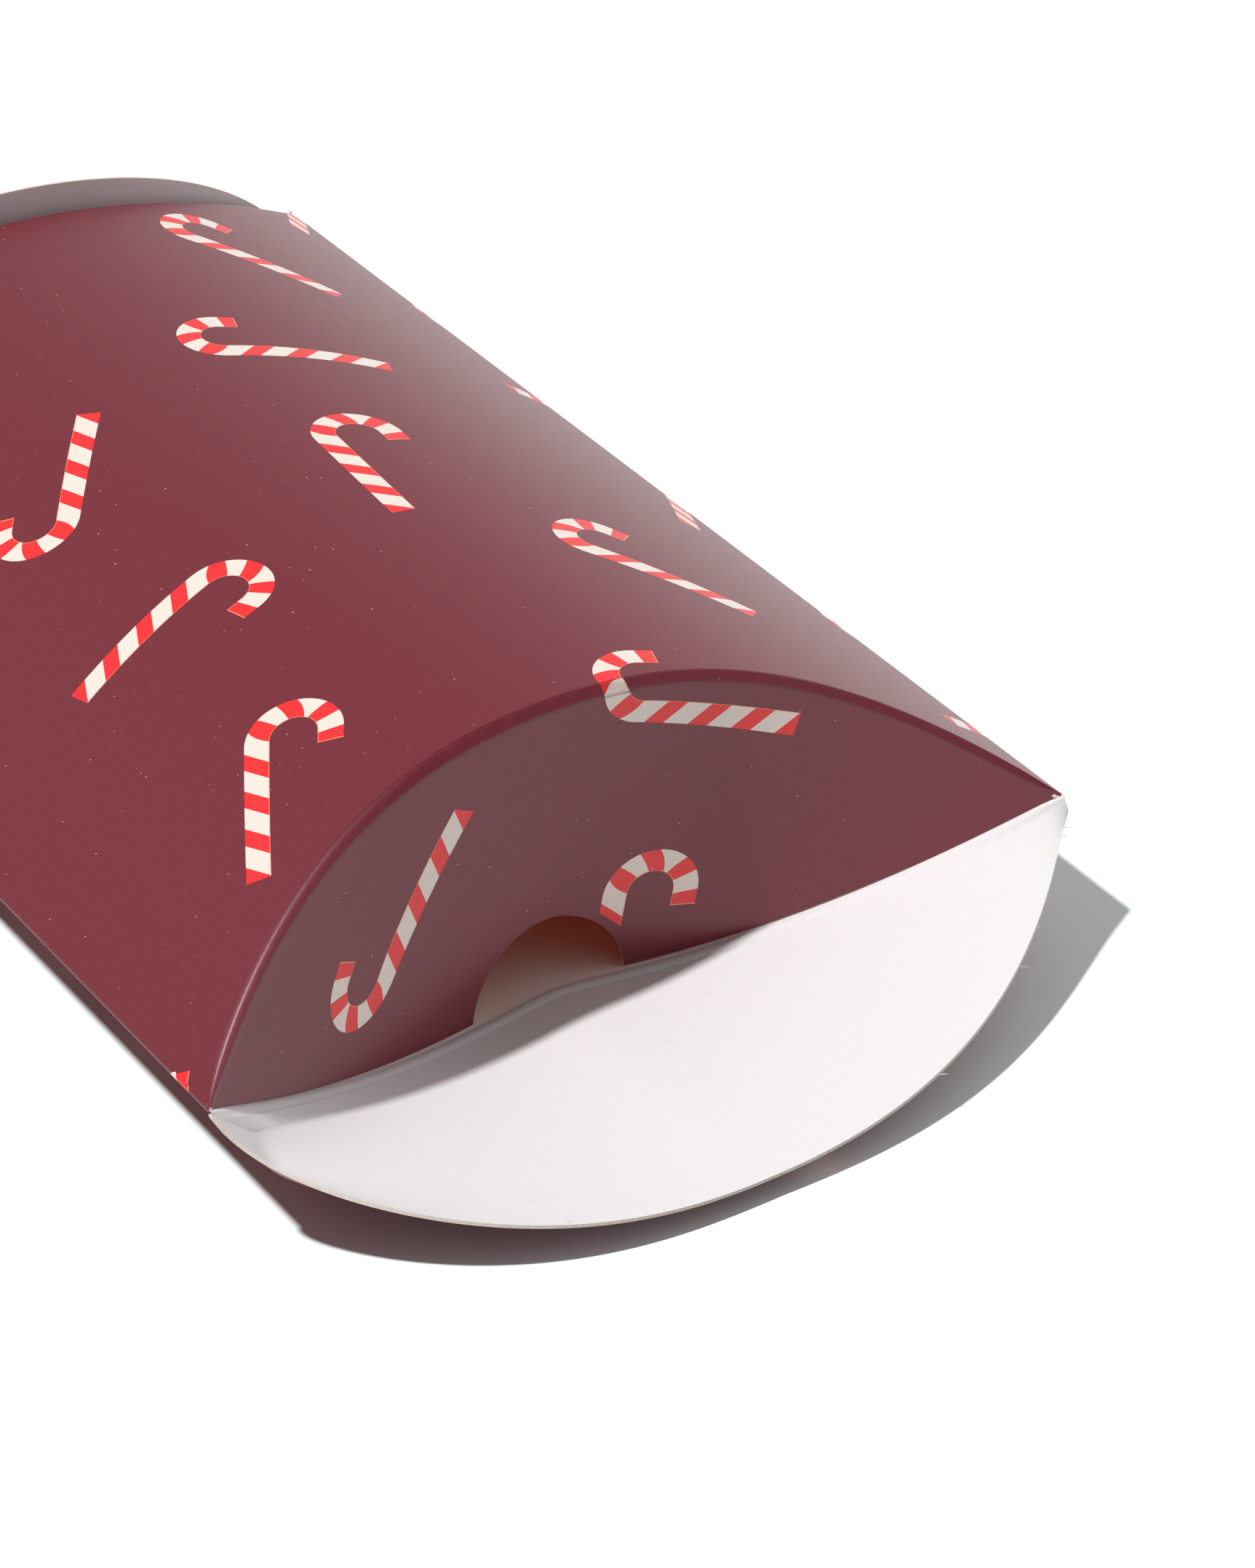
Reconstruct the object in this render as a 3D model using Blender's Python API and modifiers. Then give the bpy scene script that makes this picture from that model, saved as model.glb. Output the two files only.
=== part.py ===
# Pillow-shaped gift box of creased paperboard, standing on its bowed bottom panel with one end open.
# Frame: X across the box, Y along it (the open end is at -Y), Z up.
# Origin: middle of the flat strip that the bottom panel rests on.

import math

import bmesh
import bpy

MM = 0.001

# Driving dimensions
BOX_WIDTH = 100.0 * MM
CORNER_LENGTH = 161.1 * MM
BOARD = 0.35 * MM
PIECE_GAP = 0.3 * MM

# Cross sections: how far each panel bows from the side creases, and how full its curve is
TOP_BOW = 20.2 * MM
TOP_FULLNESS = 2.07
BOTTOM_BOW = 16.05 * MM
BOTTOM_FULLNESS = 1.87
REST_WIDTH = 10.0 * MM

# End creases: how far each curves in from the line between its two corners, and how full it is
NEAR_TOP_DEPTH = 16.35 * MM
FAR_TOP_DEPTH = 19.0 * MM
TOP_CREASE_FULLNESS = 2.8
BOTTOM_DEPTH = 18.4 * MM
BOTTOM_CREASE_FULLNESS = 1.42
BEAD_WIDTH = 1.6 * MM
BEAD_RISE = 0.22 * MM

# Inner flaps, folded down from the top panel
INNER_FLAP_WIDTH = 94.0 * MM
INNER_FLAP_DROP = 0.85 * MM
INNER_FLAP_FOOT_GAP = 0.6 * MM
NOTCH_RADIUS = 9.3 * MM
NOTCH_X = -2.4 * MM
NOTCH_Z = 0.3 * MM

# Outer flap that stands open at the near end
OPEN_REACH = 22.5 * MM
OPEN_WIDTH = 102.0 * MM
OPEN_EDGE_FULLNESS = 2.33
OPEN_TIP_LIFT = 1.85 * MM
OPEN_SHOULDER_RISE = 9.0 * MM
OPEN_EAR_RISE = 5.2 * MM
OUTER_FLAP_SHARE = 0.96

# Outer flap that stands closed at the far end
CLOSED_TIP_RISE = 2.6 * MM
CLOSED_TIP_LEAN = 1.2 * MM
CLOSED_RISE_WIDTH = 78.0 * MM
CLOSED_EDGE_FULLNESS = 3.5

# Glued side seam
TAB_WIDTH = 11.0 * MM
TAB_LENGTH = 146.0 * MM
TAB_TAPER = 8.0 * MM
GLUE_THICKNESS = 0.15 * MM
GLUE_WIDTH = 6.0 * MM
GLUE_LENGTH = 120.0 * MM

# Facets
SIDE_FACETS = 12
REST_FACETS = 3
BEAD_FACETS = 4
FLAP_ROWS = 4
SEAM_FACETS = 4
NOTCH_FACETS = 40

HALF_WIDTH = BOX_WIDTH / 2
HALF_LENGTH = CORNER_LENGTH / 2
CREASE_Z = BOTTOM_BOW


def clear_scene():
    for obj in list(bpy.data.objects):
        bpy.data.objects.remove(obj, do_unlink=True)


def make_collection(name):
    collection = bpy.data.collections.new(name)
    bpy.context.scene.collection.children.link(collection)
    return collection


def make_material(name, color, roughness):
    material = bpy.data.materials.new(name)
    material.use_nodes = True
    shader = material.node_tree.nodes["Principled BSDF"]
    shader.inputs["Base Color"].default_value = (*color, 1.0)
    shader.inputs["Roughness"].default_value = roughness
    shader.inputs["Metallic"].default_value = 0.0
    material.diffuse_color = (*color, 1.0)
    return material


def top_z(x):
    # Outer surface of the top panel.
    return CREASE_Z + TOP_BOW * (1 - abs(x / HALF_WIDTH) ** TOP_FULLNESS)


def bottom_z(x):
    # Outer surface of the bottom panel: flat over the rest strip, then rising to the side creases.
    beyond = max(0.0, abs(x) - REST_WIDTH / 2) / (HALF_WIDTH - REST_WIDTH / 2)
    return BOTTOM_BOW * min(beyond, 1.0) ** BOTTOM_FULLNESS


def crease_y(x, depth, fullness):
    # Distance of an end crease from the middle of the box, on the +Y side.
    return HALF_LENGTH - depth * (1 - abs(x / HALF_WIDTH) ** fullness)


def slant(curve, x):
    # How much longer a width gets along Y where a curve drawn over X runs at an angle to X.
    step = 0.01 * MM
    inner = abs(x) - step
    return math.hypot(1.0, (curve(abs(x)) - curve(inner)) / step)


def top_depth(end):
    return NEAR_TOP_DEPTH if end < 0 else FAR_TOP_DEPTH


def top_crease(end):
    return lambda x: crease_y(x, top_depth(end), TOP_CREASE_FULLNESS)


def bottom_crease(x):
    return crease_y(x, BOTTOM_DEPTH, BOTTOM_CREASE_FULLNESS)


def columns(width=BOX_WIDTH):
    # Places across the box: even steps over the rest strip, then even steps out to each side.
    rest = [REST_WIDTH * (i / REST_FACETS - 0.5) for i in range(REST_FACETS + 1)]
    side = [
        REST_WIDTH / 2 + (HALF_WIDTH - REST_WIDTH / 2) * i / SIDE_FACETS
        for i in range(1, SIDE_FACETS + 1)
    ]
    places = [-x for x in reversed(side)] + rest + side
    return [x * width / BOX_WIDTH for x in places]


def sheet(name, grid, outside, collection, material, origin=(0.0, 0.0, 0.0), grow=-1.0, thickness=BOARD):
    # A curved sheet of board: an open grid of points, thickened inwards (-1) or outwards (+1).
    mesh = bpy.data.meshes.new(name)
    bm = bmesh.new()
    rows = [[bm.verts.new([p[k] - origin[k] for k in range(3)]) for p in row] for row in grid]
    for upper, lower in zip(rows, rows[1:]):
        for i in range(len(upper) - 1):
            bm.faces.new((upper[i], upper[i + 1], lower[i + 1], lower[i]))
    bm.normal_update()
    bm.faces.ensure_lookup_table()
    middle = bm.faces[len(grid[0]) // 2 - 1].normal
    if sum(middle[k] * outside[k] for k in range(3)) < 0:
        bmesh.ops.reverse_faces(bm, faces=bm.faces)
    bm.to_mesh(mesh)
    bm.free()
    obj = bpy.data.objects.new(name, mesh)
    obj.location = origin
    collection.objects.link(obj)
    mesh.materials.append(material)
    mesh.shade_smooth()
    mesh.set_sharp_from_angle(angle=math.radians(30))
    board = obj.modifiers.new("Board", "SOLIDIFY")
    board.thickness = thickness
    board.offset = grow
    board.use_even_offset = True
    return obj


def half_space_cutter(name, z_from, z_to, collection):
    # A block that takes away all of a panel beyond the height of the side creases.
    bpy.ops.mesh.primitive_cube_add(size=1.0, location=(0.0, 0.0, (z_from + z_to) / 2))
    cutter = bpy.context.active_object
    cutter.scale = (BOX_WIDTH * 1.2, CORNER_LENGTH * 1.2, abs(z_to - z_from))
    return set_up_cutter(cutter, name, collection)


def set_up_cutter(cutter, name, collection):
    cutter.name = name
    for other in list(cutter.users_collection):
        other.objects.unlink(cutter)
    collection.objects.link(cutter)
    cutter.hide_render = True
    cutter.display_type = "WIRE"
    return cutter


def cut(obj, cutter):
    boolean = obj.modifiers.new("Cut", "BOOLEAN")
    boolean.operation = "DIFFERENCE"
    boolean.solver = "EXACT"
    boolean.object = cutter


def bead_rows():
    # Steps in from a crease with the height of its rolled bead at each.
    return [
        (BEAD_WIDTH * i / BEAD_FACETS, BEAD_RISE * math.sin(math.pi * i / BEAD_FACETS))
        for i in range(BEAD_FACETS + 1)
    ]


def panel_grid(section, near_crease, far_crease, bead_side):
    # Rows run across the box; each end closes with the rows of its crease's bead.
    steps = bead_rows()
    ends = [(-1, near_crease, step) for step in steps] + [(1, far_crease, step) for step in reversed(steps)]
    grid = []
    for end, crease, (inset, height) in ends:
        grid.append([
            (x, end * (crease(x) - inset * slant(crease, x)), section(x) + bead_side * height)
            for x in columns()
        ])
    return grid


def top_panel(collection, cutters, material):
    grid = panel_grid(top_z, top_crease(-1), top_crease(1), 1)
    panel = sheet("top_panel", grid, (0, 0, 1), collection, material)
    below = half_space_cutter("below_side_creases", -TOP_BOW, CREASE_Z + PIECE_GAP / 2, cutters)
    cut(panel, below)


def bottom_panel(collection, cutters, material):
    # Its creases are pressed in from outside, so nothing stands below the rest strip.
    grid = panel_grid(bottom_z, bottom_crease, bottom_crease, 1)
    panel = sheet("bottom_panel", grid, (0, 0, -1), collection, material)
    above = half_space_cutter("above_side_creases", CREASE_Z - PIECE_GAP / 2, CREASE_Z + TOP_BOW, cutters)
    cut(panel, above)


def end_wall_point(end, x, share):
    # The concave end wall: straight lines from the top crease down to the bottom crease.
    top = (end * top_crease(end)(x), top_z(x))
    bottom = (end * bottom_crease(x), bottom_z(x))
    return [x] + [a + (b - a) * share for a, b in zip(top, bottom)]


def inner_flap(name, end, collection, material, notch_cutter):
    # Hangs from the top crease and stops short of the bottom panel.
    grid = []
    for row in range(FLAP_ROWS + 1):
        points = []
        for x in columns(INNER_FLAP_WIDTH):
            height = top_z(x) - bottom_z(x)
            drop = INNER_FLAP_DROP * slant(top_z, x)
            floor = (BOARD + BEAD_RISE + PIECE_GAP) * slant(bottom_z, x)
            foot = floor + INNER_FLAP_FOOT_GAP * min(1.0, height / (CREASE_Z + TOP_BOW))
            first = drop / height
            last = 1 - foot / height
            share = first + (last - first) * row / FLAP_ROWS
            points.append(end_wall_point(end, x, share))
        grid.append(points)
    hinge = (0.0, end * top_crease(end)(0.0), top_z(0.0))
    flap = sheet(name, grid, (0, end, 0), collection, material, origin=hinge)
    cut(flap, notch_cutter)


def notch_cutter(end, cutters):
    bpy.ops.mesh.primitive_cylinder_add(
        vertices=NOTCH_FACETS,
        radius=NOTCH_RADIUS,
        depth=BOTTOM_DEPTH,
        location=(NOTCH_X, end * bottom_crease(0.0), NOTCH_Z),
        rotation=(math.pi / 2, 0.0, 0.0),
    )
    name = "near_thumb_notch" if end < 0 else "far_thumb_notch"
    return set_up_cutter(bpy.context.active_object, name, cutters)


def open_edge_point(x):
    # Free edge of the open outer flap, low at the tip and rising to the ears at the sides.
    out = x / HALF_WIDTH
    reach = OPEN_REACH * (1 - abs(out) ** OPEN_EDGE_FULLNESS)
    lift = OPEN_TIP_LIFT + OPEN_SHOULDER_RISE * abs(out) ** 1.6 + OPEN_EAR_RISE * abs(out) ** 10
    return (out * OPEN_WIDTH / 2, -(HALF_LENGTH + reach), lift)


def near_outer_flap(collection, material):
    # Folded out flat from the bottom crease, with its white inside up.
    grid = []
    for row in range(FLAP_ROWS + 1):
        share = row / FLAP_ROWS
        points = []
        for x in columns(BOX_WIDTH * OUTER_FLAP_SHARE):
            start = (x, -bottom_crease(x) - PIECE_GAP * slant(bottom_crease, x), bottom_z(x))
            points.append([a + (b - a) * share for a, b in zip(start, open_edge_point(x))])
        grid.append(points)
    hinge = (0.0, -bottom_crease(0.0), bottom_z(0.0))
    sheet("near_outer_flap", grid, (0, 0, -1), collection, material, origin=hinge)


def far_outer_flap(collection, material):
    # Folded up outside the far inner flap; its tip stands a little above the top crease.
    grid = []
    crease = top_crease(1)
    for row in range(FLAP_ROWS + 1):
        share = row / FLAP_ROWS
        points = []
        for x in columns(BOX_WIDTH * OUTER_FLAP_SHARE):
            rise = 1 - abs(2 * x / CLOSED_RISE_WIDTH) ** CLOSED_EDGE_FULLNESS
            foot = (x, bottom_crease(x) + PIECE_GAP * slant(bottom_crease, x), bottom_z(x))
            head_y = crease(x) + (PIECE_GAP + CLOSED_TIP_LEAN) * slant(crease, x)
            head = (x, head_y, top_z(x) + CLOSED_TIP_RISE * rise)
            points.append([a + (b - a) * share for a, b in zip(foot, head)])
        grid.append(points)
    hinge = (0.0, bottom_crease(0.0) + PIECE_GAP, bottom_z(0.0))
    sheet("far_outer_flap", grid, (0, 1, 0), collection, material, origin=hinge, grow=1.0)


def seam_side_x(stack):
    # Nearest place to the side crease where the layers of the seam fit above the bottom panel.
    step = 0.05 * MM
    x = HALF_WIDTH - step
    while top_z(x) - bottom_z(x) < stack * slant(top_z, x) + (BOARD + PIECE_GAP) * slant(bottom_z, x):
        x -= step
    return x


def seam_sheet(name, depth, thickness, width, length, taper, side_x, collection, material):
    # A strip inside the right-hand side crease, at a depth below the top panel's outer surface.
    grid = []
    for row in range(SEAM_FACETS + 1):
        x = side_x - width * row / SEAM_FACETS
        half = length / 2 - taper * row / SEAM_FACETS
        z = top_z(x) - depth * slant(top_z, x)
        grid.append([(x, -half, z), (x, half, z)])
    sheet(name, grid, (0, 0, 1), collection, material, thickness=thickness)


def glued_seam(collection, board_material, glue_material):
    glue_depth = BOARD + PIECE_GAP
    tab_depth = glue_depth + GLUE_THICKNESS + PIECE_GAP
    tab_x = seam_side_x(tab_depth + BOARD)
    glue_x = tab_x - (TAB_WIDTH - GLUE_WIDTH) / 2
    seam_sheet("glue_tab", tab_depth, BOARD, TAB_WIDTH, TAB_LENGTH, TAB_TAPER, tab_x,
               collection, board_material)
    seam_sheet("glue_line", glue_depth, GLUE_THICKNESS, GLUE_WIDTH, GLUE_LENGTH, 0.0, glue_x,
               collection, glue_material)


def build():
    clear_scene()
    parts = make_collection("candy_cane_gift_box")
    cutters = make_collection("cutters")
    burgundy = (0.224, 0.042, 0.058)
    white = (0.85, 0.82, 0.80)
    top_panel(parts, cutters, make_material("top_panel_print", burgundy, 0.42))
    bottom_panel(parts, cutters, make_material("bottom_panel_print", burgundy, 0.42))
    inner_flap("near_inner_flap", -1, parts, make_material("near_inner_flap_print", burgundy, 0.42),
               notch_cutter(-1, cutters))
    inner_flap("far_inner_flap", 1, parts, make_material("far_inner_flap_print", burgundy, 0.42),
               notch_cutter(1, cutters))
    near_outer_flap(parts, make_material("near_outer_flap_inside", white, 0.6))
    far_outer_flap(parts, make_material("far_outer_flap_print", burgundy, 0.42))
    glued_seam(parts, make_material("glue_tab_board", white, 0.6),
               make_material("glue_line_adhesive", (0.78, 0.74, 0.62), 0.35))


build()
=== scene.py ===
import math

import bpy
import numpy as np
from mathutils import Matrix, Vector


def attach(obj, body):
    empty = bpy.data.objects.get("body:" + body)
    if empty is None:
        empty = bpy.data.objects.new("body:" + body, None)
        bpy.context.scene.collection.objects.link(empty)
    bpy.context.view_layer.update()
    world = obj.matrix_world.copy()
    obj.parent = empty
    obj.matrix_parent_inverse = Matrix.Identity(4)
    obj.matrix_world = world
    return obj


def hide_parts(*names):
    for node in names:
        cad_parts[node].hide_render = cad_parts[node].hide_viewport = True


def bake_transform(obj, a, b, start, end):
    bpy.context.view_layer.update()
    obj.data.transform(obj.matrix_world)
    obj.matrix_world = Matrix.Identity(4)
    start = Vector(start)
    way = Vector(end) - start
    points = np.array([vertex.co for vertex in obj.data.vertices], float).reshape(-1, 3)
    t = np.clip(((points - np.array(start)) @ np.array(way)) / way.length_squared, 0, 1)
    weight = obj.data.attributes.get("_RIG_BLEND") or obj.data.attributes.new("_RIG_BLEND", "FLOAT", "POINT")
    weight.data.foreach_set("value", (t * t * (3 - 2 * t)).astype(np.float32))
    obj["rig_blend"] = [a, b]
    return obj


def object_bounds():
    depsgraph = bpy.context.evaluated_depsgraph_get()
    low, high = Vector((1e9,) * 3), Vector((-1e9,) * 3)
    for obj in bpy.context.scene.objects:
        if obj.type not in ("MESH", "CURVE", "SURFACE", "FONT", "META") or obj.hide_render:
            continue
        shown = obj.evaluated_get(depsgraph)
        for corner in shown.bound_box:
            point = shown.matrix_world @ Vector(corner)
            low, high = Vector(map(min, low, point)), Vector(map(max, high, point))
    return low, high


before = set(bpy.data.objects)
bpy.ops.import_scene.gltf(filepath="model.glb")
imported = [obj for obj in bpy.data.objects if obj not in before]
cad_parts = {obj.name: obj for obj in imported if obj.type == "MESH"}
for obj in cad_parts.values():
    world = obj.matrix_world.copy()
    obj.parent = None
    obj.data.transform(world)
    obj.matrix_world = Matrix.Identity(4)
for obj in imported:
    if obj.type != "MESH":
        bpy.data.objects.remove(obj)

# Looks of a pillow-shaped gift box: printed board skins over the CAD panels, floor, light and camera.
# Lengths in the dictionaries are in millimetres unless noted. x runs across, the open end is at -y.
mm = 0.001
cadLow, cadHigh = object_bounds()

box = {
    "width": 100.0,
    "cornerLength": 161.1,
    "board": 0.35,
    "sharpFrom": 50,        # degrees
    "topBow": 20.2,
    "topFullness": 2.07,
    "bottomBow": 16.05,
    "bottomFullness": 1.87,
    "restWidth": 10.0,
}
creases = {
    "nearTopDepth": 16.35,
    "farTopDepth": 19.0,
    "topFullness": 2.8,
    "bottomDepth": 18.4,
    "bottomFullness": 1.42,
    "foldInset": 1.3,       # how far from the crease line a folded corner starts to round
    "foldEdge": 0.36,       # share of the fold taken by each of its two rounded edges
    "leftFoldEdge": 0.26,   # so much more on the left, where the upper edge is worn round
    "foldTaper": 26.0,      # how late the folds narrow towards the corners
    "scoreInset": 0.95,     # half width of the pressed score where the board lies open
    "scoreRise": 0.2,
    "fullScore": 0.5,       # narrower scores than this rise less
    "leastFold": 0.3,       # narrower folds carry no fold marks
    "flatFold": (0.02, 0.05),   # with a smaller half width or turn (radians) a fold stays sharp
    "wornFrom": 10.0,       # the left edge's wear starts this far from the middle
    "wornOver": 28.0,       # and is full this much further out
    "innerReach": 0.992,    # share of the width over which each fold runs
    "outerReach": 0.992,
}
half = box["width"] / 2
halfLength = box["cornerLength"] / 2
farFromFold = 9.0           # what the crease attribute says away from the folds


def topZ(x):
    return box["bottomBow"] + box["topBow"] * (1 - abs(x / half) ** box["topFullness"])


def bottomZ(x):
    flat = box["restWidth"] / 2
    beyond = max(0.0, abs(x) - flat) / (half - flat)
    return box["bottomBow"] * min(beyond, 1.0) ** box["bottomFullness"]


def creaseAt(x, depth, fullness):
    return halfLength - depth * (1 - abs(x / half) ** fullness)


def topCrease(end, x):
    depth = creases["nearTopDepth"] if end < 0 else creases["farTopDepth"]
    return creaseAt(x, depth, creases["topFullness"])


def bottomCrease(x):
    return creaseAt(x, creases["bottomDepth"], creases["bottomFullness"])


def slant(curve, x):
    step = 0.01
    inner = abs(x) - step
    return math.hypot(1.0, (curve(abs(x)) - curve(inner)) / step)


def taper(x, reach):
    return max(0.0, 1 - (abs(x) / half / reach) ** creases["foldTaper"])


def arcTable(curve):
    xs = np.linspace(-half, half, 2001)
    zs = np.array([curve(x) for x in xs])
    run = np.concatenate([[0.0], np.cumsum(np.hypot(np.diff(xs), np.diff(zs)))])
    return xs, run - run[-1] / 2


topRun = arcTable(topZ)
bottomRun = arcTable(bottomZ)
topHalfRun = topRun[1][-1]
bottomHalfRun = bottomRun[1][-1]


def topAcross(x):
    return np.interp(x, *topRun)


def bottomAcross(x):
    # The blank runs on round the left-hand side crease from the top panel to the bottom panel.
    return -topHalfRun - bottomHalfRun - np.interp(x, *bottomRun)


print("section curves: top", round(topHalfRun * 2, 1), "mm, bottom", round(bottomHalfRun * 2, 1), "mm")


# Small helpers for node trees.
def feed(tree, value, socket):
    if isinstance(value, bpy.types.NodeSocket):
        tree.links.new(value, socket)
    else:
        socket.default_value = value


def setInputs(tree, node, inputs):
    for key, value in dict(inputs).items():
        feed(tree, value, node.inputs[key])


def make(tree, kind, inputs=(), **settings):
    # Adds a node with its settings and inputs, by name or number, and gives its outputs.
    node = tree.nodes.new(kind)
    for name, value in settings.items():
        setattr(node, name, value)
    setInputs(tree, node, inputs)
    return node.outputs


def calc(tree, operation, *values):
    return make(tree, "ShaderNodeMath", enumerate(values), operation=operation)[0]


def times(tree, first, second):
    return calc(tree, "MULTIPLY", first, second)


def plus(tree, first, second):
    return calc(tree, "ADD", first, second)


def minus(tree, first, second):
    return calc(tree, "SUBTRACT", first, second)


def timesPlus(tree, first, second, third):
    return calc(tree, "MULTIPLY_ADD", first, second, third)


def larger(tree, first, second):
    return calc(tree, "MAXIMUM", first, second)


def under(tree, first, second):
    return calc(tree, "LESS_THAN", first, second)


def vectorCalc(tree, operation, *values):
    outputs = make(tree, "ShaderNodeVectorMath", enumerate(values), operation=operation)
    return outputs["Value" if operation == "DOT_PRODUCT" else "Vector"]


def mixColor(tree, factor, first, second):
    return make(tree, "ShaderNodeMix", {0: factor, 6: first, 7: second}, data_type="RGBA")[2]


def mixNumber(tree, factor, first, second):
    return make(tree, "ShaderNodeMix", {0: factor, 2: first, 3: second})[0]


def splitXyz(tree, vector):
    return make(tree, "ShaderNodeSeparateXYZ", {0: vector})


def joinXyz(tree, x, y, z=0.0):
    return make(tree, "ShaderNodeCombineXYZ", {0: x, 1: y, 2: z})[0]


def attributeOf(tree, name, output):
    return make(tree, "ShaderNodeAttribute", attribute_name=name)[output]


def noiseOf(tree, vector, scale, detail=3.0, roughness=0.55):
    inputs = {"Vector": vector, "Scale": scale, "Detail": detail, "Roughness": roughness}
    return make(tree, "ShaderNodeTexNoise", inputs)["Fac"]


def cellsOf(tree, vector, scale):
    return make(tree, "ShaderNodeTexVoronoi", {"Vector": vector, "Scale": scale})


def ramp(tree, value, low, high, toLow=0.0, toHigh=1.0):
    return make(tree, "ShaderNodeMapRange", enumerate((value, low, high, toLow, toHigh)))[0]


# The printed pattern: six candy canes in a half-drop repeat on the flat blank.
canePrint = {
    "across": 83.3,
    "along": 86.8,
    "drop": 42.6,
    "width": 2.7,
    "hookX": 5.22,
    "hookY": 18.5,
    "hookRadius": 3.87,
    "tailY": 16.4,
    "stripePeriod": 5.13,
    "stripeShift": 0.08,
    "redShare": 0.445,
    "stripeLean": 0.777,
    # shaft end corner (across, along) and turn of each cane
    "canes": [
        (-35.24, 57.47, -1.3446),
        (-9.62, 95.71, 2.5176),
        (-36.92, 18.05, -0.5535),
        (5.10, 58.39, -0.0679),
        (26.07, 93.30, 1.2539),
        (33.23, 30.78, 0.7380),
    ],
    # stripe edges round the hook in degrees: at the outside and at the inside of the bend
    "hookStripes": [(23.1, 0.0), (42.7, 48.1), (69.1, 77.7), (94.1, 115.4),
                    (131.6, 124.5), (154.7, 155.5), (181.9, 186.8)],
    "degreesPerMm": 11.1,
    "shortCane": 3,         # on the near flap this one's shaft is cut short above the thumb notch
    "shortBelow": -4.0,
    "shortFrom": 16.4,
    "middleShare": 0.65,    # the pattern's cells are centred this far up each cane
    "rimInside": 0.11,
    "rimTail": 0.13,
    "rimStrength": 0.55,
}


def caneGroup():
    p = canePrint
    tree = bpy.data.node_groups.new("candyCanes", "ShaderNodeTree")
    tree.interface.new_socket("Blank", in_out="INPUT", socket_type="NodeSocketVector")
    for name in ("Cane", "Red", "Rim"):
        tree.interface.new_socket(name, in_out="OUTPUT", socket_type="NodeSocketFloat")
    entry = make(tree, "NodeGroupInput")[0]
    total = None
    place = None
    row = splitXyz(tree, entry)[1]
    onNearFlap = under(tree, row, p["shortBelow"])
    for number, (x0, y0, turn) in enumerate(p["canes"]):
        middle = Vector((p["hookX"], p["hookY"] * p["middleShare"], 0.0))
        centre = Vector((x0, y0, 0.0)) + Matrix.Rotation(turn, 3, "Z") @ middle
        dx, dy = splitXyz(tree, vectorCalc(tree, "SUBTRACT", entry, tuple(centre)))[:2]
        wrapX = calc(tree, "WRAP", dx, p["across"] / 2, -p["across"] / 2)
        column = calc(tree, "DIVIDE", minus(tree, dx, wrapX), p["across"])
        dy = timesPlus(tree, column, p["drop"], dy)
        wrapY = calc(tree, "WRAP", dy, p["along"] / 2, -p["along"] / 2)
        turned = make(tree, "ShaderNodeVectorRotate",
                      {"Angle": -turn, "Vector": joinXyz(tree, wrapX, wrapY)}, rotation_type="Z_AXIS")[0]
        local = vectorCalc(tree, "ADD", turned, tuple(middle))
        inside = caneMask(tree, local, onNearFlap if number == p["shortCane"] else None)
        picked = vectorCalc(tree, "MULTIPLY", local, joinXyz(tree, inside, inside))
        total = inside if total is None else plus(tree, total, inside)
        place = picked if place is None else vectorCalc(tree, "ADD", place, picked)
    red, rim = caneStripes(tree, place)
    cane = calc(tree, "MINIMUM", total, 1.0)
    make(tree, "NodeGroupOutput", enumerate((cane, red, times(tree, rim, cane))))
    return tree


def hookPolar(tree, local):
    # The radius is taken from the hook's middle, and below the hook straight from its axis.
    p = canePrint
    x, y = splitXyz(tree, local)[:2]
    side = minus(tree, x, p["hookX"])
    over = larger(tree, minus(tree, y, p["hookY"]), 0.0)
    radius = calc(tree, "SQRT", plus(tree, times(tree, side, side), times(tree, over, over)))
    return x, y, side, over, radius


def caneMask(tree, local, short):
    p = canePrint
    x, y, side, over, radius = hookPolar(tree, local)
    ring = calc(tree, "COMPARE", radius, p["hookRadius"], p["width"] / 2)
    tailSide = calc(tree, "GREATER_THAN", side, 0.0)
    above = calc(tree, "GREATER_THAN", y, times(tree, tailSide, p["tailY"]))
    if short is not None:
        # The short shaft ends on a line that runs with its stripes.
        start = times(tree, minus(tree, 1.0, tailSide), short)
        start = times(tree, start, p["shortFrom"])
        leaning = timesPlus(tree, x, p["stripeLean"], y)
        above = times(tree, above, calc(tree, "GREATER_THAN", leaning, start))
    return times(tree, ring, above)


def caneStripes(tree, local):
    p = canePrint
    x, y, side, over, radius = hookPolar(tree, local)
    share = calc(tree, "DIVIDE", minus(tree, p["hookX"], radius), p["width"])
    along = plus(tree, timesPlus(tree, x, p["stripeLean"], y), p["stripeShift"])
    phase = calc(tree, "FRACT", calc(tree, "DIVIDE", along, p["stripePeriod"]))
    shaftRed = under(tree, phase, p["redShare"])
    bend = calc(tree, "DEGREES", calc(tree, "ARCTAN2", over, times(tree, side, -1.0)))
    below = larger(tree, minus(tree, p["hookY"], y), 0.0)
    tail = times(tree, times(tree, below, p["degreesPerMm"]), calc(tree, "SIGN", side))
    # Below the hook the bend angle is 0 on the shaft and 180 on the tail.
    angle = plus(tree, bend, tail)
    red = times(tree, shaftRed, under(tree, angle, 0.0))
    for i, (outside, inside) in enumerate(p["hookStripes"]):
        edge = timesPlus(tree, share, inside - outside, outside)
        passed = calc(tree, "GREATER_THAN", angle, edge)
        red = timesPlus(tree, passed, 1.0 if i % 2 == 0 else -1.0, red)
    # A hair of overprint shows along the inner edge of the bend and across the tail's end.
    innerEdge = under(tree, radius, p["hookRadius"] - p["width"] / 2 + p["rimInside"])
    tailEnd = times(tree, calc(tree, "GREATER_THAN", side, 0.0),
                    under(tree, y, p["tailY"] + p["rimTail"]))
    return red, larger(tree, times(tree, innerEdge, p["rimStrength"]), tailEnd)


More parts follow.
